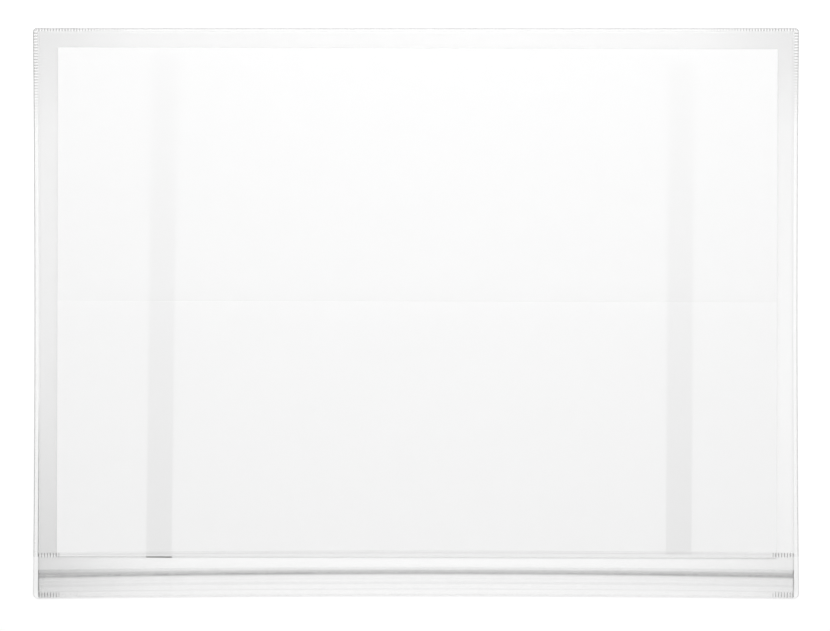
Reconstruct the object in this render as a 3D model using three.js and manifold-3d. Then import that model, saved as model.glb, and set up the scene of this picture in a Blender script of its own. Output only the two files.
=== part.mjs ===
// A clear document pocket for one landscape A3 sheet, lying on its back.
// Millimetres. X runs along the long side, Y runs up the page, Z points away from the wall that the
// pocket is stuck to. The origin is under the middle of the pocket, on the face of the strip liners.

import * as THREE from 'three';
import { mergeVertices } from 'three/addons/utils/BufferGeometryUtils.js';
import Module from 'manifold-3d';

const wasm = await Module();
wasm.setup();

// The sheet that the pocket is made for: A3, lying on its long side
const sheetLength = 420;
const sheetHeight = 297;
const sheetThickness = 0.12;
const creaseDepth = 0.08;
const creaseHalfWidth = 1.5;

// The pocket, welded round the sheet
const sideMargin = 13.5;
const pocketLength = sheetLength + 2 * sideMargin;
const pocketHeight = 333;
const upperCorner = 2;
const lowerCorner = 3;
const weldWidth = 2.9;
const stepWidth = 1;

// Thicknesses, from the wall outwards
const linerThickness = 0.1;
const tapeThickness = 0.25;
const backThickness = 0.3;
const frontThickness = 0.2;
const sheetRoom = 0.3;
const sheetGap = 0.1;
const stripThickness = 0.45;
const flangeThickness = 0.3;
const tongueThickness = 0.3;
const railThickness = 1.25;

// Heights of the faces that the pieces rest on
const backUnderside = linerThickness + tapeThickness;
const backFace = backUnderside + backThickness;
const windowFace = backFace + sheetRoom + frontThickness;

// The mouth, below the sheet: where each line runs across, at the pocket's sides
const halfLength = pocketLength / 2;
const halfHeight = pocketHeight / 2;
const seamTop = -138.8;
const seamBottom = -142;
const tongueTop = -149.6;
const grooveTop = -150.6;
const stripBottom = -152.2;
const grooveBottom = -154;
const channelTop = -158.2;
const channelBottom = -160.1;
const flangeTop = -162.8;
const railBottom = -166;
const grooveGap = 0.3;
const edgeThickness = 0.1;
const channelSlope = 0.4;
const channelDepth = 0.25;
const flatDrop = 0.06;
const railStep = 0.6;
const stripStep = 0.6;
const railHalfLength = 220.5;
const railCorner = 1.5;
const stripCorner = 0.6;

// The film is slack: the sides are drawn in at mid-height, and the mouth's lines rise at mid-length
const sideDraw = 0.9;
const seamRise = 0.7;
const mouthRise = 1.9;
const bottomRise = 1.6;
const alongSteps = 24;
const cornerSteps = 4;

// The adhesive strips were laid by hand, so each has its own ends and its own lean
const tapeWidth = 15;
const tapes = [
  { side: 'left', x: -148.4, top: 150, bottom: -142.5, leanDegrees: 0.65 },
  { side: 'right', x: 154.1, top: 146, bottom: -140.8, leanDegrees: 0.32 },
];

// The sheet has slipped a little in the pocket
const sheetX = 0.7;
const sheetY = 6.3;
const sheetLeanDegrees = 0.15;
const creaseY = 7;

const film = (color, opacity) => new THREE.MeshStandardMaterial({
  color,
  opacity,
  roughness: 0.2,
  metalness: 0,
  transparent: true,
});

const materials = {
  backFilm: film('#eef0f0', 0.25),
  frontFilm: film('#f2f4f4', 0.2),
  strip: film('#eceeee', 0.4),
  rail: film('#e6e8e8', 0.45),
  paper: new THREE.MeshStandardMaterial({ color: '#fafafa', roughness: 0.9, metalness: 0 }),
  tape: new THREE.MeshStandardMaterial({ color: '#6e7072', roughness: 0.8, metalness: 0 }),
  liner: new THREE.MeshStandardMaterial({ color: '#ece8dc', roughness: 0.5, metalness: 0 }),
};

const pocket = new THREE.Group();
pocket.name = 'document_pocket';

function addPiece(name, geometry, material) {
  const mesh = new THREE.Mesh(geometry, material);
  mesh.name = name;
  pocket.add(mesh);
  return mesh;
}

// A closed solid from a geometry, for joining and cutting
function solidFrom(geometry) {
  const bare = geometry.clone();
  bare.deleteAttribute('normal');
  bare.deleteAttribute('uv');
  const merged = mergeVertices(bare, 1e-4);
  return new wasm.Manifold(new wasm.Mesh({
    numProp: 3,
    vertProperties: new Float32Array(merged.attributes.position.array),
    triVerts: new Uint32Array(merged.index.array),
  }));
}

function geometryFrom(solid) {
  const mesh = solid.getMesh();
  const geometry = new THREE.BufferGeometry();
  geometry.setAttribute('position', new THREE.BufferAttribute(mesh.vertProperties, 3));
  geometry.setIndex(new THREE.BufferAttribute(mesh.triVerts, 1));
  geometry.computeVertexNormals();
  return geometry;
}

// How far a line that runs across the pocket at height y rises at mid-length
function riseAt(y) {
  if (y >= seamBottom) {
    return seamRise;
  }
  if (y >= grooveBottom) {
    return THREE.MathUtils.mapLinear(y, seamBottom, grooveBottom, seamRise, mouthRise);
  }
  return THREE.MathUtils.mapLinear(y, grooveBottom, railBottom, mouthRise, bottomRise);
}

// A flat panel with round corners, its lower edge risen at mid-length and its sides drawn in
function panelOutline({ half, bottom, top, lower, upper, rise, draw }) {
  const middle = (bottom + top) / 2;
  const shape = new THREE.Shape();
  shape.moveTo(-half + lower, bottom);
  shape.quadraticCurveTo(0, bottom + 2 * rise, half - lower, bottom);
  if (lower > 0) {
    shape.quadraticCurveTo(half, bottom, half, bottom + lower);
  }
  shape.quadraticCurveTo(half - 2 * draw, middle, half, top - upper);
  if (upper > 0) {
    shape.quadraticCurveTo(half, top, half - upper, top);
  }
  shape.lineTo(-half + upper, top);
  if (upper > 0) {
    shape.quadraticCurveTo(-half, top, -half, top - upper);
  }
  shape.quadraticCurveTo(-half + 2 * draw, middle, -half, bottom + lower);
  if (lower > 0) {
    shape.quadraticCurveTo(-half, bottom, -half + lower, bottom);
  }
  return shape;
}

function slab(outline, low, high) {
  const geometry = new THREE.ExtrudeGeometry(outline, {
    depth: high - low,
    bevelEnabled: false,
    curveSegments: alongSteps,
  });
  return geometry.translate(0, 0, low);
}

// A slab whose faces slope in by one step width at its edges, as the window pressed into a film does
function slopedSlab(outline, low, high) {
  const geometry = new THREE.ExtrudeGeometry(outline, {
    depth: high - low - 2 * sheetRoom,
    bevelEnabled: true,
    bevelThickness: sheetRoom,
    bevelSize: stepWidth,
    bevelOffset: -stepWidth,
    bevelSegments: 1,
    curveSegments: alongSteps,
  });
  return geometry.translate(0, 0, low + sheetRoom);
}

// Where a run along X has its sections: close together round the corners at its ends
function stationsAlong(half, corner) {
  const stations = [];
  for (let i = 0; i < cornerSteps; i += 1) {
    stations.push(-half + corner * (1 - Math.cos((i / cornerSteps) * (Math.PI / 2))));
  }
  for (let i = 0; i <= alongSteps; i += 1) {
    stations.push(THREE.MathUtils.lerp(-half + corner, half - corner, i / alongSteps));
  }
  for (let i = cornerSteps - 1; i >= 0; i -= 1) {
    stations.push(half - corner * (1 - Math.cos((i / cornerSteps) * (Math.PI / 2))));
  }
  return stations;
}

// A profile drawn across the pocket (Y, Z), run along X with round corners in plan at its ends,
// and bent to follow the mouth's rise
function railAlongMouth(profile, { half, bottom, top, corner }) {
  const stations = stationsAlong(half, corner);
  const middle = (bottom + top) / 2;
  const halfSpan = (top - bottom) / 2;
  const geometry = new THREE.ExtrudeGeometry(profile, {
    depth: stations.length - 1,
    steps: stations.length - 1,
    bevelEnabled: false,
  });
  const place = geometry.attributes.position;
  for (let i = 0; i < place.count; i += 1) {
    const straightY = place.getX(i);
    const z = place.getY(i);
    const x = stations[Math.round(place.getZ(i))];
    const intoCorner = Math.max(0, Math.abs(x) - (half - corner));
    const drawnIn = corner - Math.sqrt(corner ** 2 - Math.min(intoCorner, corner) ** 2);
    const y = middle + (straightY - middle) * (1 - drawnIn / halfSpan);
    const across = 1 - (x / halfLength) ** 2;
    place.setXYZ(i, x, y + riseAt(straightY) * across, z);
  }
  geometry.computeVertexNormals();
  return geometry;
}

function backFilm() {
  const outline = panelOutline({
    half: halfLength,
    bottom: -halfHeight,
    top: halfHeight,
    lower: lowerCorner,
    upper: upperCorner,
    rise: bottomRise,
    draw: sideDraw,
  });
  return slab(outline, backUnderside, backFace);
}

// One film, welded flat to the back along its sides and top, and standing off it over the sheet
function frontFilm() {
  const rim = panelOutline({
    half: halfLength,
    bottom: seamBottom,
    top: halfHeight,
    lower: 0,
    upper: upperCorner,
    rise: seamRise,
    draw: sideDraw,
  });
  const window = (inset) => panelOutline({
    half: halfLength - inset,
    bottom: seamBottom - sideMargin,
    top: halfHeight - inset,
    lower: 0,
    upper: upperCorner,
    rise: 0,
    draw: sideDraw,
  });
  const flat = solidFrom(slab(rim, backFace, backFace + frontThickness));
  const whole = solidFrom(slab(rim, backFace, windowFace));
  const raised = solidFrom(slopedSlab(window(weldWidth), 0, windowFace));
  const room = solidFrom(slopedSlab(window(weldWidth + frontThickness), 0, windowFace - frontThickness));
  return geometryFrom(flat.add(raised.intersect(whole)).subtract(room));
}

// A thin strip welded over the front film's lower edge. Its free edge is a wedge that rests on the
// rail's tongue, so that its sloping face makes one side of the groove along the mouth
function closingStrip() {
  const topFace = windowFace + stripThickness;
  const flangeFace = windowFace + flangeThickness;
  const tongueFace = backFace + tongueThickness;
  const profile = new THREE.Shape();
  profile.moveTo(seamTop, windowFace);
  profile.lineTo(seamTop, flangeFace);
  profile.lineTo(seamBottom, flangeFace);
  profile.lineTo(seamBottom - stripStep, topFace);
  profile.lineTo(grooveTop, topFace);
  profile.lineTo(stripBottom, tongueFace + edgeThickness);
  profile.lineTo(stripBottom, tongueFace);
  profile.lineTo(tongueTop, tongueFace);
  profile.lineTo(tongueTop + stripStep, windowFace);
  profile.closePath();
  return railAlongMouth(profile, {
    half: railHalfLength,
    bottom: stripBottom,
    top: seamTop,
    corner: stripCorner,
  });
}

// The rail welded along the back film's lower edge: a tongue under the strip's wedge, the sloping lip
// that the wedge sits behind, two flats with a shallow channel between them, and the weld flange
function baseRail() {
  const topFace = backFace + railThickness;
  const tongueFace = backFace + tongueThickness;
  const profile = new THREE.Shape();
  profile.moveTo(railBottom, backFace);
  profile.lineTo(tongueTop, backFace);
  profile.lineTo(tongueTop, tongueFace);
  profile.lineTo(stripBottom - grooveGap, tongueFace);
  profile.lineTo(grooveBottom, topFace);
  profile.lineTo(channelTop, topFace);
  profile.lineTo(channelTop - channelSlope, topFace - channelDepth);
  profile.lineTo(channelBottom + channelSlope, topFace - channelDepth);
  profile.lineTo(channelBottom, topFace - flatDrop);
  profile.lineTo(flangeTop + railStep, topFace - 2 * flatDrop);
  profile.lineTo(flangeTop, backFace + flangeThickness);
  profile.lineTo(railBottom, backFace + flangeThickness);
  profile.closePath();
  return railAlongMouth(profile, {
    half: railHalfLength,
    bottom: railBottom,
    top: tongueTop,
    corner: railCorner,
  });
}

// A sheet of paper with one fold across it, opened flat again: the fold still dips a little
function insertSheet() {
  const foldY = creaseY - sheetY;
  const half = sheetHeight / 2;
  const profile = new THREE.Shape();
  profile.moveTo(-half, 0);
  profile.lineTo(foldY - creaseHalfWidth, 0);
  profile.lineTo(foldY, -creaseDepth);
  profile.lineTo(foldY + creaseHalfWidth, 0);
  profile.lineTo(half, 0);
  profile.lineTo(half, sheetThickness);
  profile.lineTo(foldY + creaseHalfWidth, sheetThickness);
  profile.lineTo(foldY, sheetThickness - creaseDepth);
  profile.lineTo(foldY - creaseHalfWidth, sheetThickness);
  profile.lineTo(-half, sheetThickness);
  profile.closePath();
  const geometry = new THREE.ExtrudeGeometry(profile, { depth: sheetLength, bevelEnabled: false });
  geometry.translate(0, 0, -sheetLength / 2);
  const acrossToAlong = new THREE.Matrix4().makeBasis(
    new THREE.Vector3(0, 1, 0),
    new THREE.Vector3(0, 0, 1),
    new THREE.Vector3(1, 0, 0),
  );
  return geometry.applyMatrix4(acrossToAlong);
}

function stripOfTape(length, thickness) {
  const outline = new THREE.Shape();
  outline.moveTo(-tapeWidth / 2, -length / 2);
  outline.lineTo(tapeWidth / 2, -length / 2);
  outline.lineTo(tapeWidth / 2, length / 2);
  outline.lineTo(-tapeWidth / 2, length / 2);
  outline.closePath();
  return slab(outline, 0, thickness);
}

addPiece('back_film', backFilm(), materials.backFilm);
addPiece('front_film', frontFilm(), materials.frontFilm);
addPiece('closing_strip', closingStrip(), materials.strip);
addPiece('base_rail', baseRail(), materials.rail);

const sheet = addPiece('insert_sheet', insertSheet(), materials.paper);
sheet.position.set(sheetX, sheetY, backFace + sheetGap);
sheet.rotation.z = -THREE.MathUtils.degToRad(sheetLeanDegrees);

for (const { side, x, top, bottom, leanDegrees } of tapes) {
  const length = top - bottom;
  const lean = -THREE.MathUtils.degToRad(leanDegrees);
  const middle = (top + bottom) / 2;

  const liner = addPiece(`release_liner_${side}`, stripOfTape(length, linerThickness), materials.liner);
  liner.position.set(x, middle, 0);
  liner.rotation.z = lean;

  const tape = addPiece(`adhesive_strip_${side}`, stripOfTape(length, tapeThickness), materials.tape);
  tape.position.set(x, middle, linerThickness);
  tape.rotation.z = lean;
}

pocket.updateMatrixWorld(true);

export default pocket;
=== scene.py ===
import math

import bmesh
import bpy
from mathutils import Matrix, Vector


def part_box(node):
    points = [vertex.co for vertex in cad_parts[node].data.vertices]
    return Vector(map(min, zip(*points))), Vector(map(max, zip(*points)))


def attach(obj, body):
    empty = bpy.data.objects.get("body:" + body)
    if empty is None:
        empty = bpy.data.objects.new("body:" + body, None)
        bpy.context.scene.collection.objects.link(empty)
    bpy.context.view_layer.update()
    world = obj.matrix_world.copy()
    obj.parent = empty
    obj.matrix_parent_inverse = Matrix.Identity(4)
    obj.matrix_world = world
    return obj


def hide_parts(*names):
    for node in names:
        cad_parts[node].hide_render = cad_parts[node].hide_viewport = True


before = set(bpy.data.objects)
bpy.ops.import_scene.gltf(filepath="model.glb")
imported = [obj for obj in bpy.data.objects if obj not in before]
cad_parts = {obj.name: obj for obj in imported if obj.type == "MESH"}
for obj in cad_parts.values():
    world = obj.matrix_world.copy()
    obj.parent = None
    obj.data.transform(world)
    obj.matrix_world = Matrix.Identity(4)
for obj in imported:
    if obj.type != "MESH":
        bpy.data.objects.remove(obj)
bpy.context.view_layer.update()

bl_info = {
    "name": "Clear Document Pocket",
    "version": (1, 0, 0),
    "blender": (4, 5, 0),
    "location": "View3D > Sidebar > Pocket",
    "description": "Dresses a clear welded pocket that holds one landscape A3 sheet",
    "category": "Object",
}

MM = 0.001
BODY = "root"

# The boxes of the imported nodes: every piece below is placed from these
BACK_LOW, BACK_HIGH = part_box("back_film")
FRONT_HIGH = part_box("front_film")[1]
STRIP_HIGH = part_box("closing_strip")[1]
RAIL_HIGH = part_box("base_rail")[1]
SHEET_LOW, SHEET_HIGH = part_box("insert_sheet")

HALF_LENGTH = BACK_HIGH.x
HALF_HEIGHT = BACK_HIGH.y
BACK_FACE = BACK_HIGH.z
WINDOW_FACE = FRONT_HIGH.z


def length(name, description, millimetres):
    """A size that a user would change, kept in metres."""
    return bpy.props.FloatProperty(
        name=name,
        description=description,
        default=millimetres * MM,
        precision=5,
        unit="LENGTH",
        subtype="DISTANCE",
    )


def linear(code):
    """An sRGB hex colour such as #f4f4f2 as a linear RGBA value."""
    parts = [int(code[i:i + 2], 16) / 255 for i in (1, 3, 5)]
    curve = [c / 12.92 if c <= 0.04045 else ((c + 0.055) / 1.055) ** 2.4 for c in parts]
    return (*curve, 1.0)


def colour(name, description, code):
    """A colour that a user would change, given as sRGB hex."""
    return bpy.props.FloatVectorProperty(
        name=name,
        description=description,
        default=linear(code),
        size=4,
        min=0,
        max=1,
        subtype="COLOR",
    )


class PocketFilmSizes(bpy.types.PropertyGroup):
    front_thickness: length("Front film", "Thickness of the front film", 0.2)
    upper_corner: length("Upper corners", "Radius of the pocket's two upper corners", 2)
    lower_corner: length("Lower corners", "Radius of the pocket's two lower corners", 3)
    side_draw: length("Side draw", "How far the slack sides are drawn in at mid-height", 0.9)
    wave: length("Film wave", "Height of the slow waves in the loose front film", 0.05)
    side_weld: length("Side weld", "Width of the welded band along each side", 2.9)
    top_weld: length("Top weld", "Width of the welded band along the top", 2.1)
    step_width: length("Step width", "Width of the step from the weld up to the window", 0.8)
    # The real ticks are about 1.2 mm apart. They are drawn coarser, so that they still show
    tick_pitch: length("Tick pitch", "Spacing of the ticks pressed into the welds", 1.7)
    tick_width: length("Tick width", "Width of each tick", 0.85)
    tick_depth: length("Tick depth", "Depth of the ticks", 0.08)


class PocketMouthSizes(bpy.types.PropertyGroup):
    seam_top: length("Seam, upper line", "Y of the upper edge of the strip's flange", -139.8)
    seam_bottom: length("Seam, lower line", "Y of the lower edge of the strip's flange", -141.9)
    tongue_top: length("Tongue", "Y of the upper edge of the rail's tongue", -149.6)
    groove_top: length("Groove, upper line", "Y where the strip slopes into the groove", -151.1)
    strip_bottom: length("Strip edge", "Y of the closing strip's free edge", -152.7)
    groove_bottom: length("Groove, lower line", "Y where the rail's lip comes up", -154.4)
    channel_top: length("Channel, upper line", "Y of the rail's shallow channel", -158.2)
    channel_bottom: length("Channel, lower line", "Y where the channel ends", -160.1)
    flange_top: length("Rail flange", "Y of the upper edge of the rail's flange", -162.8)
    rail_bottom: length("Rail edge", "Y of the rail's lower edge", -166)
    flange: length("Flange thickness", "Thickness of both flanges", 0.3)
    tongue: length("Tongue thickness", "Thickness of the rail's tongue", 0.3)
    channel_depth: length("Channel depth", "Depth of the rail's shallow channel", 0.25)
    seam_top_rise: length("Upper seam rise", "How far the seam's upper line rises at mid-length", 1.5)
    seam_bottom_rise: length("Lower seam rise", "How far its lower line rises at mid-length", 0.4)
    mouth_rise: length("Mouth rise", "How far the groove rises at mid-length", 2.4)
    bottom_rise: length("Edge rise", "How far the lower edge rises at mid-length", 1.6)
    rail_corner: length("Rail corners", "Radius of the rail's corners", 1.0)
    strip_corner: length("Strip corners", "Radius of the strip's corners", 0.6)


class PocketSheetSizes(bpy.types.PropertyGroup):
    sheet_length: length("Sheet length", "Length of an A3 sheet", 420)
    sheet_height: length("Sheet height", "Height of an A3 sheet on its long side", 297)
    thickness: length("Sheet thickness", "Thickness of the paper", 0.12)
    crease_y: length("Crease", "Y of the fold across the sheet", 7)
    crease_depth: length("Crease depth", "How far the fold dips", 0.09)
    crease_half: length("Crease half width", "Half the width of the fold's valley", 0.6)
    lean: bpy.props.FloatProperty(
        name="Sheet lean",
        description="How far the sheet has turned in the pocket",
        default=-math.radians(0.15),
        unit="ROTATION",
        subtype="ANGLE",
    )


class PocketColours(bpy.types.PropertyGroup):
    clear: colour("Clear", "Tint of the clear plastic where it is thin, flat or welded", "#fefefe")
    # The grey tint is painted shade: the grey line that light sent aside at a cut edge or a sharp
    # bend makes
    grey_and_shade: colour("Grey", "Tint of the same plastic at its cut edges and sharp bends", "#d0d0d0")
    haze: colour("Haze", "Colour of the plastic's faint haze", "#f3f3f3")
    paper: colour("Paper", "Colour of the sheet", "#f7f7f7")
    foam: colour("Foam", "Colour of the adhesive strips' foam", "#3a3a3a")
    liner: colour("Liner", "Colour of the strips' liners", "#ece7da")
    floor: colour("Floor", "Colour of the floor and backdrop", "#ffffff")


def add_node(tree, kind, inputs=None, **settings):
    """Adds a node, with its settings, and its inputs as values or as links from other sockets."""
    node = tree.nodes.new(kind)
    for name, value in settings.items():
        setattr(node, name, value)
    for name, value in (inputs or {}).items():
        if isinstance(value, bpy.types.NodeSocket):
            tree.links.new(value, node.inputs[name])
        else:
            node.inputs[name].default_value = value
    return node


def new_material(name):
    """An empty node material and its tree."""
    material = bpy.data.materials.new(name)
    material.use_nodes = True
    material.node_tree.nodes.clear()
    return material, material.node_tree


# The attribute that says how grey a point of the clear plastic is, its own grey together with the
# painted shade of its bends and cut edges, and the one that holds the height of its top while a mesh
# is made
GREY_AND_SHADE = "grey_and_shade"
TOP = "top"

# The sockets of a Mix node that mixes colours
MIX_A = 6
MIX_B = 7
MIX_COLOUR = 2

# What a face of PVC mirrors when it is looked at squarely
PVC_MIRROR = 0.043

# The depth of the rollers' orange peel, and the length and width of the die's lines
PEEL_DEPTH = 0.012 * MM
DIE_LINE_LENGTH = 120 * MM
DIE_LINE_WIDTH = 0.9 * MM

# Painted shadow of the adhesive strips on the back, where they lie behind the sheet
STRIP_WIDTH = 15 * MM
NEAR_SHADOW_BLUR = 0.5 * MM
FAR_SHADOW_BLUR = 2.5 * MM
FAR_SHADOW_SHARE = 0.25
STRIP_SHADOW_SHARE = 0.905

PAPER_TRANSLUCENCE = 0.12
PAPER_MOTTLE = 0.985


def darker_by(share, shade):
    """A colour times a share, still opaque."""
    return tuple(share * c for c in shade[:3]) + (1.0,)


def clear_pvc(name, tints, haze, roughness, grain, mirrored, streaks):
    """Soft PVC, calendered or extruded: clear where flat, with painted shade at bends and cut edges,
    softly glossy. Its tints are those of the clear plastic, of the painted shade at its edges and of
    its haze."""
    clear_tint, bend_shade_tint, haze_colour = tints
    material, tree = new_material(name)
    facing = add_node(tree, "ShaderNodeLayerWeight", {"Blend": 0.5}).outputs["Facing"]

    # Light that meets a bend or a cut edge is sent aside, which makes a grey line there. It is
    # painted as shade in the clear tint, with the plastic's own grey
    grey_and_shade_share = add_node(tree, "ShaderNodeAttribute", attribute_name=GREY_AND_SHADE).outputs["Fac"]
    place = add_node(tree, "ShaderNodeTexCoord").outputs["Object"]
    if streaks:
        # The lips of the die leave fine lines along an extruded piece
        across = 1 / DIE_LINE_WIDTH
        stretched = add_node(
            tree,
            "ShaderNodeMapping",
            {"Vector": place, "Scale": (1 / DIE_LINE_LENGTH, across, across)},
        )
        lines = add_node(
            tree,
            "ShaderNodeTexNoise",
            {"Vector": stretched.outputs[0], "Scale": 1.0, "Detail": 2.0},
        )
        grey_and_shade_share = add_node(
            tree,
            "ShaderNodeMath",
            {0: lines.outputs[0], 1: streaks, 2: grey_and_shade_share},
            operation="MULTIPLY_ADD",
        ).outputs[0]
    tint = add_node(
        tree,
        "ShaderNodeMix",
        {0: grey_and_shade_share, MIX_A: clear_tint, MIX_B: bend_shade_tint},
        data_type="RGBA",
    )
    clear = add_node(tree, "ShaderNodeBsdfTransparent", {"Color": tint.outputs[MIX_COLOUR]})

    # Fine orange peel from the rollers, about as wide as grain
    peel = add_node(
        tree, "ShaderNodeTexNoise", {"Vector": place, "Scale": 1 / grain, "Detail": 0.0}
    )
    bump = add_node(
        tree,
        "ShaderNodeBump",
        {"Height": peel.outputs[0], "Strength": 1.0, "Distance": PEEL_DEPTH},
    )

    milk = add_node(tree, "ShaderNodeBsdfDiffuse", {"Color": haze_colour})
    body = add_node(
        tree, "ShaderNodeMixShader", {0: haze, 1: clear.outputs[0], 2: milk.outputs[0]}
    )
    gloss = add_node(
        tree,
        "ShaderNodeBsdfAnisotropic",
        {"Color": (1, 1, 1, 1), "Roughness": roughness, "Normal": bump.outputs[0]},
    )

    # How much a plastic face mirrors grows as it is seen from the side, on both of its sides alike.
    # A face that is welded to another mirrors nothing, so mirrored is the share of loose faces
    least = mirrored * PVC_MIRROR
    grazing = add_node(tree, "ShaderNodeMath", {0: facing, 1: 5.0}, operation="POWER")
    mirror = add_node(
        tree,
        "ShaderNodeMath",
        {0: grazing.outputs[0], 1: 1 - least, 2: least},
        operation="MULTIPLY_ADD",
    )
    surface = add_node(
        tree,
        "ShaderNodeMixShader",
        {0: mirror.outputs[0], 1: body.outputs[0], 2: gloss.outputs[0]},
    )
    add_node(tree, "ShaderNodeOutputMaterial", {"Surface": surface.outputs[0]})
    return material


def painted_strip_shadow(tree, place, node):
    """How much painted shadow an adhesive strip on the back casts on the sheet at a place: 0 beside
    it, 1 over its lower end.
    """
    low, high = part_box(node)
    tall = high.y - low.y
    lean = (high.x - low.x - STRIP_WIDTH) / tall
    on_strip = add_node(
        tree,
        "ShaderNodeMapping",
        {"Vector": place, "Location": (low + high) / 2, "Rotation": (0, 0, -lean)},
        vector_type="TEXTURE",
    )
    parts = add_node(tree, "ShaderNodeSeparateXYZ", {0: on_strip.outputs[0]})
    # Towards the mouth the sheet lies closer to the strip, so its painted shadow is sharper there,
    # and darker
    blur = add_node(
        tree,
        "ShaderNodeMapRange",
        {0: parts.outputs["Y"], 1: -tall / 2, 2: tall / 2, 3: NEAR_SHADOW_BLUR, 4: FAR_SHADOW_BLUR},
    )
    shadowed = None
    for axis, half in (("X", STRIP_WIDTH / 2), ("Y", tall / 2)):
        away = add_node(tree, "ShaderNodeMath", {0: parts.outputs[axis]}, operation="ABSOLUTE")
        sharp, gone = (
            add_node(tree, "ShaderNodeMath", {0: half, 1: blur.outputs[0]}, operation=operation)
            for operation in ("SUBTRACT", "ADD")
        )
        inside = add_node(
            tree,
            "ShaderNodeMapRange",
            {0: away.outputs[0], 1: sharp.outputs[0], 2: gone.outputs[0], 3: 1.0, 4: 0.0},
            interpolation_type="SMOOTHSTEP",
        )
        if shadowed is None:
            shadowed = inside
        else:
            shadowed = add_node(
                tree,
                "ShaderNodeMath",
                {0: shadowed.outputs[0], 1: inside.outputs[0]},
                operation="MULTIPLY",
            )
    shadow_strength = add_node(
        tree,
        "ShaderNodeMapRange",
        {0: parts.outputs["Y"], 1: -tall / 2, 2: tall / 2, 3: 1.0, 4: FAR_SHADOW_SHARE},
    )
    return add_node(
        tree,
        "ShaderNodeMath",
        {0: shadowed.outputs[0], 1: shadow_strength.outputs[0]},
        operation="MULTIPLY",
    ).outputs[0]


def copier_paper(name, paper_colour):
    """Uncoated white paper: matt, faintly mottled by its fibres, a little translucent, and with the
    painted shadow of the adhesive strips where they lie behind it."""
    material, tree = new_material(name)
    place = add_node(tree, "ShaderNodeTexCoord").outputs["Object"]
    fibre = 0.5 * MM
    cloud = 9 * MM
    fine = add_node(
        tree, "ShaderNodeTexNoise", {"Vector": place, "Scale": 1 / fibre, "Detail": 3.0}
    )
    broad = add_node(
        tree, "ShaderNodeTexNoise", {"Vector": place, "Scale": 1 / cloud, "Detail": 2.0}
    )
    mottled_and_shadowed = add_node(
        tree,
        "ShaderNodeMix",
        {0: broad.outputs[0], MIX_A: paper_colour, MIX_B: darker_by(PAPER_MOTTLE, paper_colour)},
        data_type="RGBA",
    )
    # The painted shadow of both adhesive strips
    both = add_node(
        tree,
        "ShaderNodeMath",
        {
            0: painted_strip_shadow(tree, place, "adhesive_strip_left"),
            1: painted_strip_shadow(tree, place, "adhesive_strip_right"),
        },
        operation="ADD",
    )
    # The sheet's colour where the strips' painted shadow falls
    strip_shadowed_paper = darker_by(STRIP_SHADOW_SHARE, paper_colour)
    mottled_and_shadowed = add_node(
        tree,
        "ShaderNodeMix",
        {0: both.outputs[0], MIX_A: mottled_and_shadowed.outputs[MIX_COLOUR], MIX_B: strip_shadowed_paper},
        data_type="RGBA",
    )
    bump = add_node(
        tree,
        "ShaderNodeBump",
        {"Height": fine.outputs[0], "Strength": 0.2, "Distance": 0.02 * MM},
    )
    front = add_node(
        tree,
        "ShaderNodeBsdfDiffuse",
        {"Color": mottled_and_shadowed.outputs[MIX_COLOUR], "Normal": bump.outputs[0]},
    )
    through = add_node(tree, "ShaderNodeBsdfTranslucent", {"Color": paper_colour})
    sheet = add_node(
        tree,
        "ShaderNodeMixShader",
        {0: PAPER_TRANSLUCENCE, 1: front.outputs[0], 2: through.outputs[0]},
    )
    add_node(tree, "ShaderNodeOutputMaterial", {"Surface": sheet.outputs[0]})
    return material


def foam_tape(name, foam_colour):
    """Closed-cell foam tape: matt grey with fine cells."""
    material, tree = new_material(name)
    place = add_node(tree, "ShaderNodeTexCoord").outputs["Object"]
    cell = 0.4 * MM
    cells = add_node(tree, "ShaderNodeTexVoronoi", {"Vector": place, "Scale": 1 / cell})
    lighter = tuple(min(1, 1.25 * c) for c in foam_colour[:3]) + (1.0,)
    speckled = add_node(
        tree,
        "ShaderNodeMix",
        {0: cells.outputs[0], MIX_A: foam_colour, MIX_B: lighter},
        data_type="RGBA",
    )
    bump = add_node(
        tree,
        "ShaderNodeBump",
        {"Height": cells.outputs[0], "Strength": 0.5, "Distance": 0.05 * MM},
    )
    surface = add_node(
        tree,
        "ShaderNodeBsdfPrincipled",
        {
            "Base Color": speckled.outputs[MIX_COLOUR],
            "Roughness": 0.85,
            "Normal": bump.outputs[0],
        },
    )
    add_node(tree, "ShaderNodeOutputMaterial", {"Surface": surface.outputs[0]})
    return material


def silicone_liner(name, liner_colour):
    """Siliconised kraft liner: cream paper with a slippery, slightly uneven sheen."""
    material, tree = new_material(name)
    place = add_node(tree, "ShaderNodeTexCoord").outputs["Object"]
    cloud = 6 * MM
    broad = add_node(
        tree, "ShaderNodeTexNoise", {"Vector": place, "Scale": 1 / cloud, "Detail": 3.0}
    )
    tint = add_node(
        tree,
        "ShaderNodeMix",
        {0: broad.outputs[0], MIX_A: liner_colour, MIX_B: darker_by(0.93, liner_colour)},
        data_type="RGBA",
    )
    rough = add_node(
        tree,
        "ShaderNodeMath",
        {0: broad.outputs[0], 1: 0.15, 2: 0.38},
        operation="MULTIPLY_ADD",
    )
    surface = add_node(
        tree,
        "ShaderNodeBsdfPrincipled",
        {"Base Color": tint.outputs[MIX_COLOUR], "Roughness": rough.outputs[0]},
    )
    add_node(tree, "ShaderNodeOutputMaterial", {"Surface": surface.outputs[0]})
    return material


def spaced(low, high, step):
    """Evenly spaced places from low to high, about a step apart."""
    count = max(1, round((high - low) / step))
    return [low + (high - low) * i / count for i in range(count + 1)]


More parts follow.
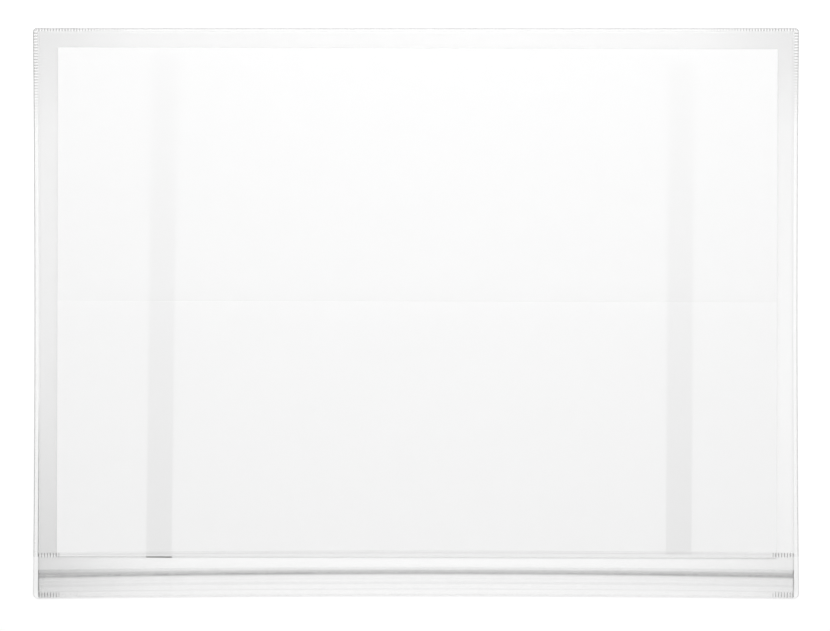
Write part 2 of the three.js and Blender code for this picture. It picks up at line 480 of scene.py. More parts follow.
def solid_between(bm, lines_a, lines_b, place, form):
    """A closed solid on a grid with its lines at the given places. For the grid's point (a, b),
    place gives X and Y, and form, which is also told the number of a's line, gives the height of
    the underside, the height of the top, and how grey the plastic is."""
    layers = bm.verts.layers.float
    for name in (TOP, GREY_AND_SHADE):
        if name not in layers:
            layers.new(name)
    # Looked up once both are made, because making a layer moves the others
    top, grey_and_shade = layers[TOP], layers[GREY_AND_SHADE]
    before = set(bm.verts)
    cells_a = len(lines_a) - 1
    cells_b = len(lines_b) - 1
    bmesh.ops.create_grid(bm, x_segments=cells_a, y_segments=cells_b, size=0.5)
    grid = [v for v in bm.verts if v not in before]
    for v in grid:
        i = round((v.co.x + 0.5) * cells_a)
        j = round((v.co.y + 0.5) * cells_b)
        a, b = lines_a[i], lines_b[j]
        low, v[top], v[grey_and_shade] = form(a, b, i)
        v.co = (*place(a, b), low)
    faces = {f for v in grid for f in v.link_faces}
    grown = bmesh.ops.extrude_face_region(bm, geom=list(faces))["geom"]
    for v in grown:
        if isinstance(v, bmesh.types.BMVert):
            v.co.z = v[top]


def finished(name, bm, material, smooth_below, node):
    """Makes the mesh an object with its material, on the pocket's one body, in place of its CAD
    node. Edges bent by less than smooth_below degrees are shaded smooth."""
    bmesh.ops.recalc_face_normals(bm, faces=bm.faces[:])
    bm.verts.layers.float.remove(bm.verts.layers.float[TOP])
    mesh = bpy.data.meshes.new(name)
    bm.to_mesh(mesh)
    bm.free()
    mesh.materials.append(material)
    mesh.shade_smooth()
    mesh.set_sharp_from_angle(angle=math.radians(smooth_below))
    piece = bpy.data.objects.new(name, mesh)
    bpy.context.scene.collection.objects.link(piece)
    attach(piece, BODY)
    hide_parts(node)


def rise_at(mouth, y):
    """How far a line across the pocket at height y rises at mid-length."""
    marks = (
        (mouth.rail_bottom, mouth.bottom_rise),
        (mouth.groove_bottom, mouth.mouth_rise),
        (mouth.seam_bottom, mouth.seam_bottom_rise),
        (mouth.seam_top, mouth.seam_top_rise),
        (HALF_HEIGHT, 0.0),
    )
    if y <= marks[0][0]:
        return marks[0][1]
    for (y0, rise0), (y1, rise1) in zip(marks, marks[1:]):
        if y <= y1:
            return rise0 + (rise1 - rise0) * (y - y0) / (y1 - y0)
    return 0.0


def slack(film, mouth, x, y):
    """Where a point of the taut pocket lies on the slack one."""
    along = 1 - (x / HALF_LENGTH) ** 2
    up = 1 - (y / HALF_HEIGHT) ** 2
    return x * (1 - film.side_draw / HALF_LENGTH * up), y + rise_at(mouth, y) * along


def round_corner(film, x, y):
    """Pulls a point near one of the pocket's corners onto rings about the corner's centre."""
    radius = film.upper_corner if y > 0 else film.lower_corner
    dx = abs(x) - (HALF_LENGTH - radius)
    dy = abs(y) - (HALF_HEIGHT - radius)
    if dx <= 0 or dy <= 0:
        return x, y
    pull = max(dx, dy) / math.hypot(dx, dy)
    corner_x = HALF_LENGTH - radius + dx * pull
    corner_y = HALF_HEIGHT - radius + dy * pull
    return math.copysign(corner_x, x), math.copysign(corner_y, y)


def on_film(film, mouth, x, y):
    """A point of the straight, square pocket, with its corner rounded and the film's slack added."""
    return slack(film, mouth, *round_corner(film, x, y))


# How grey the ticks are near the corners, where the tool bit deepest, and far from them
TICK_GREY = 0.5
FAINT_TICK = 0.1
TICKS_DEEP_TO = 22 * MM
TICKS_FAINT_FROM = 62 * MM

# How much greyer the left weld's inner line is at the mouth, and how far up that reaches
LEFT_LINE_MOUTH_GREY = 4.0
LEFT_LINE_MOUTH_REACH = 90 * MM

# How grey the beaded cut edge is along each side, as a share of what weld_rows gives: painted shade
# darkens it on the left, away from the lamps, and painted light lightens it on the right and top
EDGE_SHADE_BY_SIDE = {"left": 1.5, "right": 0.8, "top": 0.9}


def tick_strength(from_corner):
    """How much of TICK_GREY the ticks have, this far along a weld from the nearer upper corner."""
    faded = (from_corner - TICKS_DEEP_TO) / (TICKS_FAINT_FROM - TICKS_DEEP_TO)
    return max(FAINT_TICK, min(1.0, 1 - faded))


def tick_lines(low, high, pitch, width):
    """Lines along a weld: for every tick its near side, both sides of its flat bottom, and its far
    side."""
    count = int((high - low) / pitch)
    start = low + ((high - low) - count * pitch + pitch - width) / 2
    lines = [low]
    for i in range(count):
        near = start + i * pitch
        lines += [near, near + 0.2 * width, near + 0.8 * width, near + width]
    return lines + [high]


def is_tick(i, lines):
    """Whether a line of tick_lines is at the bottom of a tick."""
    return i % 4 in (2, 3) and i < len(lines) - 1


def weld_rows(film, width, inner):
    """The weld across its width, from the cut edge inwards: how far in, the underside, the
    thickness, how grey it is with the painted shade of its bends, and whether ticks are pressed in.
    Past the step the underside is at inner."""
    thick = film.front_thickness
    bead = 0.4 * MM
    line = 0.25 * MM
    return (
        (0.0, BACK_FACE, 0.5 * thick, 0.8, 0),
        (0.3 * bead, BACK_FACE, 1.2 * thick, 0.5, 1),
        (0.7 * bead, BACK_FACE, 1.3 * thick, 0.2, 1),
        (bead, BACK_FACE, thick, 0.05, 1),
        (bead + line, BACK_FACE, thick, 0.0, 1),
        (width - 3 * line, BACK_FACE, thick, 0.0, 1),
        (width - 2 * line, BACK_FACE, thick, 0.04, 1),
        (width - line, BACK_FACE, 0.7 * thick, 0.3, 0),
        (width, BACK_FACE, thick, 0.03, 0),
        (width + film.step_width, inner, thick, 0.0, 0),
    )


def weld_band(bm, film, mouth, side, inner, low_y):
    """One straight weld, mitred where it meets the next one: the top, or a side up from low_y."""
    across_top = side == "top"
    run = 2 * HALF_LENGTH if across_top else HALF_HEIGHT - low_y
    shares = [y / run for y in tick_lines(0.0, run, film.tick_pitch, film.tick_width)]
    rows = weld_rows(film, film.top_weld if across_top else film.side_weld, inner)
    others = weld_rows(film, film.side_weld if across_top else film.top_weld, inner)
    at = {row[0]: (row, other[0]) for row, other in zip(rows, others)}

    # A line that would run past the mitre ends on it, so the ticks stay square to the weld
    def place(s, inset):
        cut = at[inset][1]
        if across_top:
            half = HALF_LENGTH - cut
            x = (2 * s - 1) * HALF_LENGTH
            return on_film(film, mouth, max(-half, min(half, x)), HALF_HEIGHT - inset)
        x = math.copysign(HALF_LENGTH - inset, -1 if side == "left" else 1)
        return on_film(film, mouth, x, min(HALF_HEIGHT - cut, low_y + run * s))

    inner_line = rows[-3][0]
    past_bead = rows[3][0]

    def form(s, inset, i):
        (_, low, thick, grey_and_shade, ticked), cut = at[inset]
        from_corner = min(s, 1 - s) * run if across_top else (1 - s) * run
        tick = ticked and is_tick(i, shares) and from_corner > cut + 0.1 * MM
        # Painted shade on the left cut edge, painted light on the right and top
        if inset < past_bead:
            grey_and_shade *= EDGE_SHADE_BY_SIDE[side]
        if side == "left" and inset == inner_line:
            # The left weld's inner line is greyer towards the mouth
            grey_and_shade += LEFT_LINE_MOUTH_GREY * max(0.0, 1 - s * run / LEFT_LINE_MOUTH_REACH)
        if tick:
            grey_and_shade += TICK_GREY * tick_strength(from_corner)
        return low, low + thick - film.tick_depth * tick, grey_and_shade

    solid_between(bm, shares, list(at), place, form)


def remove_mitre_walls(bm):
    """Takes out the walls left inside the film where two welds meet at a mitre."""
    shared = {edge for edge in bm.edges if len(edge.link_faces) > 2}
    walls = [face for face in bm.faces if sum(edge in shared for edge in face.edges) > 1]
    bmesh.ops.delete(bm, geom=walls, context="FACES")


def loose_film_height(film, x, y):
    """The slow waves of the loose film, nothing at its welds and never lower than flat."""
    u = x / HALF_LENGTH
    v = y / HALF_HEIGHT
    fade = max(0.0, 1 - u ** 8) * max(0.0, 1 - v ** 8)
    slow = 0.3 * math.sin(5.1 * u + 1.7 * v + 0.4)
    quick = 0.2 * math.sin(8.3 * u - 3.9 * v + 2.0)
    return film.wave * fade * (0.5 + slow + quick)


class POCKET_OT_front_film(bpy.types.Operator):
    """Makes the clear front film: welded to the back along three sides, loose over the sheet"""

    bl_idname = "pocket.front_film"
    bl_label = "Front film"

    def execute(self, context):
        scene = context.scene
        film, mouth = scene.pocket_film, scene.pocket_mouth
        bm = bmesh.new()
        room = WINDOW_FACE - film.front_thickness
        for side in ("left", "right", "top"):
            weld_band(bm, film, mouth, side, room, mouth.seam_bottom)
        bmesh.ops.remove_doubles(bm, verts=bm.verts[:], dist=0.001 * MM)
        remove_mitre_walls(bm)
        side_edge = film.side_weld + film.step_width
        top_edge = film.top_weld + film.step_width
        cell = 4 * MM

        def form(x, y, i):
            wave = loose_film_height(film, x, y)
            return room + wave, WINDOW_FACE + wave, 0.0

        solid_between(
            bm,
            spaced(-HALF_LENGTH + side_edge, HALF_LENGTH - side_edge, cell),
            spaced(mouth.seam_bottom, HALF_HEIGHT - top_edge, cell),
            lambda x, y: slack(film, mouth, x, y),
            form,
        )
        finished("clear_front", bm, MATERIALS["front"], 14, "front_film")
        return {"FINISHED"}


# How grey the back film is where it is loose, where it is welded, where the strip, the rail or the
# rail's flange lies on it, and at its cut edges
LOOSE_GREY = 0.2
WELDED_GREY = 0.07
UNDER_STRIP_GREY = 0.08
UNDER_RAIL_GREY = 0.085
UNDER_FLANGE_GREY = 0.05
CUT_GREY = 0.6
LOWER_CUT_GREY = 0.3

# Painted shade added to the loose film at the upper corners and down the left side, and painted light
# that takes grey off down the right side
CORNER_SHADE = 0.1
CORNER_SHADE_REACH = 60 * MM
LOWER_LEFT_SHADE = 0.175
RIGHT_SIDE_LIGHT = 0.075


def loose_grey_and_shade(x, y):
    """How grey the loose back film is: its own grey, with painted shade at its upper corners and its
    lower left, and painted light down its right side."""
    from_corner = math.hypot(HALF_LENGTH - abs(x), HALF_HEIGHT - y)
    # Painted shade, strongest at each upper corner
    drawn = CORNER_SHADE * max(0.0, 1 - from_corner / CORNER_SHADE_REACH)
    across = x / HALF_LENGTH
    down = (1 - y / HALF_HEIGHT) / 2
    # Painted shade towards the lower left, painted light down the right side
    if x < 0:
        return LOOSE_GREY + drawn - LOWER_LEFT_SHADE * across * down ** 3
    return LOOSE_GREY + drawn - RIGHT_SIDE_LIGHT * across * min(1.0, 1.6 * down)


class POCKET_OT_back_film(bpy.types.Operator):
    """Makes the clear back film with its welded edge"""

    bl_idname = "pocket.back_film"
    bl_label = "Back film"

    def execute(self, context):
        scene = context.scene
        film, mouth = scene.pocket_film, scene.pocket_mouth
        bm = bmesh.new()
        cell = 4 * MM
        rim = [0.0, 0.2 * MM, 0.5 * MM, 1.0 * MM, 1.5 * MM, 2.0 * MM, 2.5 * MM]
        side = rim + [film.side_weld, film.side_weld + 0.3 * MM]
        upper = rim[:-2] + [film.top_weld, film.top_weld + 0.3 * MM]
        middle_x = spaced(-HALF_LENGTH + side[-1], HALF_LENGTH - side[-1], cell)
        lower = (
            [-HALF_HEIGHT + rim[-1], mouth.flange_top - 0.3 * MM, mouth.flange_top]
            + spaced(mouth.channel_bottom, mouth.seam_bottom, cell)
        )
        middle_y = spaced(mouth.seam_top, HALF_HEIGHT - upper[-1], cell)
        xs = (
            [-HALF_LENGTH + d for d in side[:-1]]
            + middle_x
            + [HALF_LENGTH - d for d in side[-2::-1]]
        )
        ys = (
            [-HALF_HEIGHT + d for d in rim[:-1]]
            + lower
            + middle_y
            + [HALF_HEIGHT - d for d in upper[-2::-1]]
        )

        def form(x, y, i):
            from_side = HALF_LENGTH - abs(x)
            from_top = HALF_HEIGHT - y
            from_edge = min(from_side, from_top, HALF_HEIGHT + y)
            if from_edge < rim[2]:
                cut = LOWER_CUT_GREY if from_edge == HALF_HEIGHT + y else CUT_GREY
                grey_and_shade = cut * (1 - from_edge / rim[2])
            elif y < mouth.flange_top:
                grey_and_shade = UNDER_FLANGE_GREY
            elif y < mouth.groove_top:
                grey_and_shade = UNDER_RAIL_GREY
            elif y < mouth.seam_top:
                grey_and_shade = UNDER_STRIP_GREY
            elif from_side < side[-1] - 0.1 * MM or from_top < upper[-1] - 0.1 * MM:
                grey_and_shade = WELDED_GREY
            else:
                grey_and_shade = loose_grey_and_shade(x, y)
            return BACK_LOW.z, BACK_FACE, grey_and_shade

        solid_between(bm, xs, ys, lambda x, y: on_film(film, mouth, x, y), form)
        finished("clear_back", bm, MATERIALS["back"], 30, "back_film")
        return {"FINISHED"}


def graded(marks, y):
    """What a profile of straight stretches gives at y. Its marks are (y, value, ...), from low y
    to high."""
    for first, second in zip(marks, marks[1:]):
        if y <= second[0]:
            share = (y - first[0]) / (second[0] - first[0])
            return [p + (q - p) * share for p, q in zip(first[1:], second[1:])]
    return list(marks[-1][1:])


def profile_lines(step, *profiles):
    """Grid lines at every mark of the profiles, and about a step apart between them."""
    marks = sorted({mark[0] for profile in profiles for mark in profile})
    lines = [marks[0]]
    for low, high in zip(marks, marks[1:]):
        if high - low > 0.02 * MM:
            lines += spaced(lines[-1], high, step)[1:]
    return lines


def rail_place(mouth, half, low_y, high_y, corner):
    """Places a rail's straight profile on the bent mouth, with its corners rounded in plan."""
    middle = (low_y + high_y) / 2
    span = (high_y - low_y) / 2

    def place(x, y):
        into = max(0.0, abs(x) - (half - corner))
        drawn = corner - math.sqrt(max(0.0, corner ** 2 - min(into, corner) ** 2))
        across = 1 - (x / HALF_LENGTH) ** 2
        return x, middle + (y - middle) * (1 - drawn / span) + rise_at(mouth, y) * across

    return place


# The grid lines round each rounded corner of a rail
CORNER_STEPS = 6

# The flanges' ticks are sharp this far from their ends, and have this share of their grey between
WELDED_END = 12 * MM
BETWEEN_TICKS = 0.04

# How grey the rails are at their sawn ends, and the painted shade added round their ends, this far in
SAWN_GREY = 1.1
SAWN_REACH = 0.7 * MM
STRIP_SAWN_SHARE = 0.4
END_SHADE_REACH = 90 * MM
LEFT_END_SHADE = 0.19
RIGHT_END_SHADE = 0.05


def tick_grey(half, x):
    """How grey a flange's ticks are: sharp where the films are welded too, faint between."""
    return TICK_GREY * (1.0 if half - abs(x) < WELDED_END else BETWEEN_TICKS)


def sawn_grey(half, x):
    """How grey a rail is at its sawn ends."""
    return SAWN_GREY * max(0.0, 1 - (half - abs(x)) / SAWN_REACH)


def end_shade(half, x, grey_and_shade):
    """Painted shade added round a rail's ends, more at the left end than at the right: less where it
    is grey already."""
    most = LEFT_END_SHADE if x < 0 else RIGHT_END_SHADE
    near_end = max(0.0, 1 - (half - abs(x)) / END_SHADE_REACH)
    return most * near_end ** 2 * max(0.0, 1 - 2 * grey_and_shade)


def rail_lines(half, corner, film):
    """Lines along a rail: close together round its corners, with the flange's ticks between them."""
    turns = [math.pi / 2 * i / CORNER_STEPS for i in range(CORNER_STEPS)]
    bends = [corner * (1 - math.cos(turn)) for turn in turns]
    middle = tick_lines(-half + corner, half - corner, film.tick_pitch, film.tick_width)
    return [-half + d for d in bends] + middle + [half - d for d in reversed(bends)]


class POCKET_OT_closing_strip(bpy.types.Operator):
    """Makes the clear strip that closes the mouth, with its knurled flange and its sloping edge"""

    bl_idname = "pocket.closing_strip"
    bl_label = "Closing strip"

    def execute(self, context):
        scene = context.scene
        film, mouth = scene.pocket_film, scene.pocket_mouth
        half = STRIP_HIGH.x
        body_face = WINDOW_FACE + mouth.flange + 0.15 * MM
        flange_face = WINDOW_FACE + mouth.flange
        tongue_face = BACK_FACE + mouth.tongue
        edge = 0.1 * MM
        rounding = 0.25 * MM
        step = 0.6 * MM
        shape = (
            (mouth.strip_bottom, tongue_face, tongue_face + edge),
            (mouth.groove_top - rounding, tongue_face, body_face - 0.1 * MM),
            (mouth.groove_top + rounding, tongue_face, body_face),
            (mouth.tongue_top, tongue_face, body_face),
            (mouth.tongue_top + step, WINDOW_FACE, body_face),
            (mouth.seam_bottom - step, WINDOW_FACE, body_face),
            (mouth.seam_bottom, WINDOW_FACE, flange_face),
            (mouth.seam_top, WINDOW_FACE, flange_face),
        )
        # The greys hold the painted shade of the profile's bends, darkest where the strip slopes into
        # the groove
        grey_and_shade_marks = (
            (mouth.strip_bottom, 0.4),
            (mouth.strip_bottom + 0.6 * MM, 0.3),
            (mouth.strip_bottom + 1.2 * MM, 0.2),
            (mouth.strip_bottom + 1.6 * MM, 0.03),
            (mouth.seam_bottom - 0.7 * MM, 0.0),
            (mouth.seam_bottom - 0.1 * MM, 0.02),
            (mouth.seam_bottom + 0.3 * MM, 0.0),
            (mouth.seam_bottom + 0.8 * MM, 0.0),
            (mouth.seam_bottom + 1.2 * MM, 0.1),
            (mouth.seam_bottom + 1.6 * MM, 0.0),
            (mouth.seam_top - 0.3 * MM, 0.0),
            (mouth.seam_top - 0.1 * MM, 0.08),
            (mouth.seam_top, 0.12),
        )
        ticks = (mouth.seam_bottom - 0.1 * MM, mouth.seam_top - 0.1 * MM)
        along = rail_lines(half, mouth.strip_corner, film)

        def form(x, y, i):
            low, high = graded(shape, y)
            grey_and_shade = graded(grey_and_shade_marks, y)[0]
            # Painted shade round the strip's ends, below its flange
            if y < mouth.seam_bottom:
                grey_and_shade += end_shade(half, x, grey_and_shade)
            grey_and_shade += STRIP_SAWN_SHARE * sawn_grey(half, x)
            tick = ticks[0] <= y <= ticks[1] and is_tick(i - CORNER_STEPS, along)
            return low, high - film.tick_depth * tick, grey_and_shade + tick_grey(half, x) * tick

        bm = bmesh.new()
        solid_between(
            bm,
            along,
            profile_lines(2 * MM, shape, grey_and_shade_marks),
            rail_place(mouth, half, mouth.strip_bottom, mouth.seam_top, mouth.strip_corner),
            form,
        )
        finished("mouth_strip", bm, MATERIALS["strip"], 14, "closing_strip")
        return {"FINISHED"}


class POCKET_OT_base_rail(bpy.types.Operator):
    """Makes the clear rail along the lower edge, with its tongue, sloping lip, channel and flange"""

    bl_idname = "pocket.base_rail"
    bl_label = "Base rail"

    def execute(self, context):
        scene = context.scene
        film, mouth = scene.pocket_film, scene.pocket_mouth
        half = RAIL_HIGH.x
        top_face = RAIL_HIGH.z
        tongue_face = BACK_FACE + mouth.tongue
        flange_face = BACK_FACE + mouth.flange
        slope = 0.4 * MM
        drop = 0.06 * MM
        gap = 0.3 * MM
        shape = (
            (mouth.rail_bottom, flange_face),
            (mouth.flange_top, flange_face),
            (mouth.flange_top + 1.5 * slope, top_face - 2 * drop),
            (mouth.channel_bottom, top_face - drop),
            (mouth.channel_bottom + slope, top_face - mouth.channel_depth),
            (mouth.channel_top - slope, top_face - mouth.channel_depth),
            (mouth.channel_top, top_face),
            (mouth.groove_bottom, top_face),
            (mouth.strip_bottom - gap, tongue_face),
            (mouth.tongue_top, tongue_face),
        )
        # The greys hold the painted shade of the profile's bends, darkest in the groove
        grey_and_shade_marks = (
            (mouth.rail_bottom, 0.16),
            (mouth.rail_bottom + 0.5 * MM, 0.06),
            (mouth.rail_bottom + 1.0 * MM, 0.0),
            (mouth.flange_top - 0.4 * MM, 0.0),
            (mouth.flange_top, 0.05),
            (mouth.flange_top + 0.6 * MM, 0.0),
            (mouth.channel_bottom, 0.0),
            (mouth.channel_bottom + slope, 0.08),
            (mouth.channel_top - slope, 0.05),
            (mouth.channel_top, 0.01),
            (mouth.channel_top + 1.0 * MM, 0.01),
            (mouth.channel_top + 1.4 * MM, 0.05),
            (mouth.channel_top + 1.8 * MM, 0.0),
            (mouth.groove_bottom - 1.2 * MM, 0.01),
            (mouth.groove_bottom - 0.8 * MM, 0.03),
            (mouth.groove_bottom - 0.3 * MM, 0.12),
            (mouth.groove_bottom + 0.2 * MM, 0.49),
            (mouth.groove_bottom + 0.8 * MM, 0.57),
            (mouth.strip_bottom - gap, 0.49),
            (mouth.strip_bottom + 0.1 * MM, 0.05),
            (mouth.tongue_top, 0.05),
        )
        ticks = (mouth.rail_bottom + 0.5 * MM, mouth.flange_top - 0.4 * MM)
        along = rail_lines(half, mouth.rail_corner, film)

        def form(x, y, i):
            high = graded(shape, y)[0]
            grey_and_shade = graded(grey_and_shade_marks, y)[0]
            # Painted shade round the rail's ends, with the grey of its sawn ends
            grey_and_shade += end_shade(half, x, grey_and_shade) + sawn_grey(half, x)
            tick = ticks[0] <= y <= ticks[1] and is_tick(i - CORNER_STEPS, along)
            return BACK_FACE, high - film.tick_depth * tick, grey_and_shade + tick_grey(half, x) * tick

        bm = bmesh.new()
        solid_between(
            bm,
            along,
            profile_lines(2 * MM, shape, grey_and_shade_marks),
            rail_place(mouth, half, mouth.rail_bottom, mouth.tongue_top, mouth.rail_corner),
            form,
        )
        finished("lower_rail", bm, MATERIALS["rail"], 14, "base_rail")
        return {"FINISHED"}


class POCKET_OT_sheet(bpy.types.Operator):
    """Makes the white sheet with its fold, leaning a little in the pocket"""

    bl_idname = "pocket.sheet"
    bl_label = "Sheet"

    def execute(self, context):
        sheet = context.scene.pocket_sheet
        middle = (SHEET_LOW + SHEET_HIGH) / 2
        fold = sheet.crease_y - middle.y
        under = SHEET_HIGH.z - sheet.thickness
        half_height = sheet.sheet_height / 2
        half_length = sheet.sheet_length / 2
        turn_cos, turn_sin = math.cos(sheet.lean), math.sin(sheet.lean)
        shares = (-1.0, -0.5, -0.2, 0.0, 0.2, 0.5, 1.0)
        near_fold = [fold + share * sheet.crease_half for share in shares]
        cell = 10 * MM
        lines_y = (
            spaced(-half_height, near_fold[0], cell)[:-1]
            + near_fold
            + spaced(near_fold[-1], half_height, cell)[1:]
        )

        def place(x, y):
            return middle.x + x * turn_cos - y * turn_sin, middle.y + x * turn_sin + y * turn_cos

        def dip(x, y):
            away = abs(y - fold) / sheet.crease_half
            return sheet.crease_depth * max(0.0, 1 - away) ** 1.5

        bm = bmesh.new()
        solid_between(
            bm,
            spaced(-half_length, half_length, cell),
            lines_y,
            place,
            lambda x, y, i: (under - dip(x, y), under + sheet.thickness - dip(x, y), 0.0),
        )
        finished("white_sheet", bm, MATERIALS["paper"], 50, "insert_sheet")
        return {"FINISHED"}


class POCKET_OT_adhesive_strips(bpy.types.Operator):
    """Gives the adhesive strips on the back their foam, and their liners their siliconised paper"""

    bl_idname = "pocket.adhesive_strips"
    bl_label = "Adhesive strips"

    def execute(self, context):
        for side in ("left", "right"):
            for node, material in (("adhesive_strip", "foam"), ("release_liner", "liner")):
                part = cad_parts[f"{node}_{side}"]
                part.data.materials.clear()
                part.data.materials.append(MATERIALS[material])
        return {"FINISHED"}


ROLLED_GRAIN = 1.5 * MM
DRAWN_GRAIN = 0.8 * MM

# Each clear plastic's haze, roughness, grain, share of faces that mirror, and die lines
PLASTICS = (
    ("front", "calendered clear PVC, matt", 0.01, 0.5, ROLLED_GRAIN, 1.0, 0.0),
    ("back", "calendered clear PVC, polished", 0.01, 0.28, ROLLED_GRAIN, 1.0, 0.0),
    ("strip", "extruded clear PVC, strip", 0.006, 0.3, DRAWN_GRAIN, 0.3, 0.02),
    ("rail", "extruded clear PVC, rail", 0.02, 0.3, DRAWN_GRAIN, 0.5, 0.09),
)


class POCKET_OT_materials(bpy.types.Operator):
    """Makes the pocket's materials: clear PVC of two kinds, paper, foam and liner"""

    bl_idname = "pocket.materials"
    bl_label = "Materials"

    def execute(self, context):
        colours = context.scene.pocket_colours
        tints = (colours.clear[:], colours.grey_and_shade[:], colours.haze[:])
        for key, name, haze, roughness, grain, mirrored, streaks in PLASTICS:
            MATERIALS[key] = clear_pvc(name, tints, haze, roughness, grain, mirrored, streaks)
        MATERIALS["paper"] = copier_paper("uncoated white paper", colours.paper[:])
        MATERIALS["foam"] = foam_tape("closed-cell foam tape", colours.foam[:])
        MATERIALS["liner"] = silicone_liner("siliconised liner paper", colours.liner[:])
        return {"FINISHED"}


MATERIALS = {}

# How the photograph is framed: its size in pixels, and the pocket's edges in them
PHOTO_WIDTH, PHOTO_HEIGHT = 830, 631
POCKET_LEFT, POCKET_RIGHT = 33.0, 799.0
POCKET_TOP, POCKET_BOTTOM = 28.0, 599.0

# The camera's focal length and sensor, in millimetres
LENS = 100.0
SENSOR = 36.0

# The studio: the floor's own colour and what lifts it to white where it is seen, and the strength of
# the world for the object's light and for the rays that show the background
FLOOR_ALBEDO = 0.8
FLOOR_LIFT = 0.215
WORLD_LIGHT = 0.55
WORLD_WHITE = 1.0
FLOOR_HALF = 6.0
FLOOR_DROP = 0.02 * MM
KEY_WATTS = 15
OVERHEAD_WATTS = 7.1

# Clear films lie over one another, so a ray may pass many faces before it ends
MOST_CLEAR_FACES = 48


def soft_light(name, width, depth, spot, aim, watts):
    """A soft oval studio light that the camera doesn't see."""
    data = bpy.data.lights.new(name, "AREA")
    data.shape = "ELLIPSE"
    data.size, data.size_y = width, depth
    data.energy = watts
    lamp = bpy.data.objects.new(name, data)
    lamp.location = spot
    lamp.rotation_euler = (Vector(aim) - Vector(spot)).to_track_quat("-Z", "Y").to_euler()
    lamp.visible_camera = False
    bpy.context.scene.collection.objects.link(lamp)


def seen_as_background(tree):
    """1 for the rays that show the background: the camera's, and those off or through a gloss."""
    ray = add_node(tree, "ShaderNodeLightPath")
    seen = ray.outputs["Is Camera Ray"]
    for kind in ("Is Glossy Ray", "Is Transmission Ray"):
        seen = add_node(
            tree,
            "ShaderNodeMath",
            {0: seen, 1: ray.outputs[kind]},
            operation="MAXIMUM",
        ).outputs[0]
    return seen


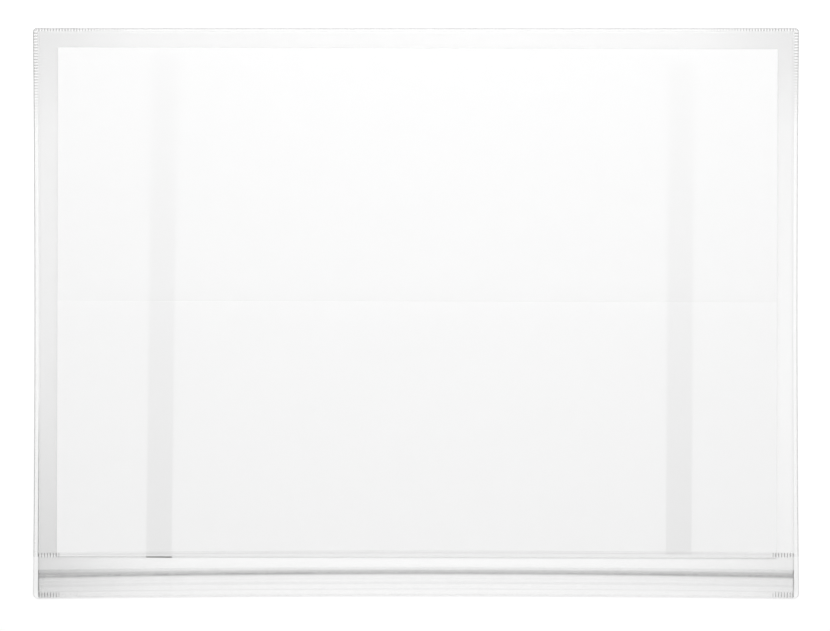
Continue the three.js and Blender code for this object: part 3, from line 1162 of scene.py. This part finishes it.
class POCKET_OT_stage(bpy.types.Operator):
    """Makes the white floor, the studio light and the camera that looks straight down"""

    bl_idname = "pocket.stage"
    bl_label = "Stage"

    def execute(self, context):
        scene = context.scene
        scene.view_settings.view_transform = "Standard"
        scene.cycles.transparent_max_bounces = MOST_CLEAR_FACES

        bm = bmesh.new()
        bmesh.ops.create_grid(bm, x_segments=4, y_segments=4, size=FLOOR_HALF)
        # A hair below the liners, so that no two faces share one place
        bmesh.ops.translate(bm, verts=bm.verts[:], vec=(0, 0, -FLOOR_DROP))
        mesh = bpy.data.meshes.new("white_floor")
        bm.to_mesh(mesh)
        bm.free()
        floor = bpy.data.objects.new("white_floor", mesh)
        scene.collection.objects.link(floor)
        material, tree = new_material("white studio floor")
        albedo = (FLOOR_ALBEDO, FLOOR_ALBEDO, FLOOR_ALBEDO, 1.0)
        matt = add_node(tree, "ShaderNodeBsdfDiffuse", {"Color": albedo})
        lift = add_node(
            tree,
            "ShaderNodeMath",
            {0: seen_as_background(tree), 1: FLOOR_LIFT},
            operation="MULTIPLY",
        )
        glow = add_node(
            tree,
            "ShaderNodeEmission",
            {"Color": scene.pocket_colours.floor[:], "Strength": lift.outputs[0]},
        )
        both = add_node(tree, "ShaderNodeAddShader", {0: matt.outputs[0], 1: glow.outputs[0]})
        add_node(tree, "ShaderNodeOutputMaterial", {"Surface": both.outputs[0]})
        mesh.materials.append(material)

        world = bpy.data.worlds.new("white studio")
        scene.world = world
        world.use_nodes = True
        tree = world.node_tree
        tree.nodes.clear()
        strength = add_node(
            tree,
            "ShaderNodeMath",
            {0: seen_as_background(tree), 1: WORLD_WHITE - WORLD_LIGHT, 2: WORLD_LIGHT},
            operation="MULTIPLY_ADD",
        )
        sky = add_node(
            tree,
            "ShaderNodeBackground",
            {"Color": scene.pocket_colours.floor[:], "Strength": strength.outputs[0]},
        )
        add_node(tree, "ShaderNodeOutputWorld", {"Surface": sky.outputs[0]})

        soft_light("key softbox", 1.4, 0.8, (0.04, 1.1, 1.3), (0, 0, 0), KEY_WATTS)
        soft_light("overhead panel", 1.12, 1.0, (0.01, 0.03, 2.0), (0.01, 0.03, 0), OVERHEAD_WATTS)

        metres_per_pixel = 2 * HALF_LENGTH / (POCKET_RIGHT - POCKET_LEFT)
        middle_x = (PHOTO_WIDTH / 2 - (POCKET_LEFT + POCKET_RIGHT) / 2) * metres_per_pixel
        middle_y = ((POCKET_TOP + POCKET_BOTTOM) / 2 - PHOTO_HEIGHT / 2) * metres_per_pixel
        data = bpy.data.cameras.new("camera")
        data.lens = LENS
        data.sensor_width = SENSOR
        camera = bpy.data.objects.new("camera", data)
        distance = PHOTO_WIDTH * metres_per_pixel * LENS / SENSOR
        camera.location = (middle_x, middle_y, WINDOW_FACE + distance)
        data.clip_start, data.clip_end = 0.01, 50
        scene.collection.objects.link(camera)
        scene.camera = camera
        return {"FINISHED"}


class POCKET_PT_panel(bpy.types.Panel):
    """Lists the pocket's pieces in the sidebar, in the order in which they are made"""

    bl_idname = "POCKET_PT_panel"
    bl_label = "Document pocket"
    bl_space_type = "VIEW_3D"
    bl_region_type = "UI"
    bl_category = "Pocket"

    def draw(self, context):
        for operator in OPERATORS:
            self.layout.operator(operator.bl_idname)


GROUPS = {
    "pocket_film": PocketFilmSizes,
    "pocket_mouth": PocketMouthSizes,
    "pocket_sheet": PocketSheetSizes,
    "pocket_colours": PocketColours,
}

OPERATORS = (
    POCKET_OT_stage,
    POCKET_OT_materials,
    POCKET_OT_adhesive_strips,
    POCKET_OT_back_film,
    POCKET_OT_sheet,
    POCKET_OT_front_film,
    POCKET_OT_closing_strip,
    POCKET_OT_base_rail,
)


def register():
    for name, group in GROUPS.items():
        bpy.utils.register_class(group)
        setattr(bpy.types.Scene, name, bpy.props.PointerProperty(type=group))
    for each in (*OPERATORS, POCKET_PT_panel):
        bpy.utils.register_class(each)


def unregister():
    for each in reversed((*OPERATORS, POCKET_PT_panel)):
        bpy.utils.unregister_class(each)
    for name, group in GROUPS.items():
        delattr(bpy.types.Scene, name)
        bpy.utils.unregister_class(group)


def main():
    """Registers the pocket's steps and runs each of them in order."""
    register()
    for operator in OPERATORS:
        group, name = operator.bl_idname.split(".")
        getattr(getattr(bpy.ops, group), name)()


if __name__ == "__main__":
    main()
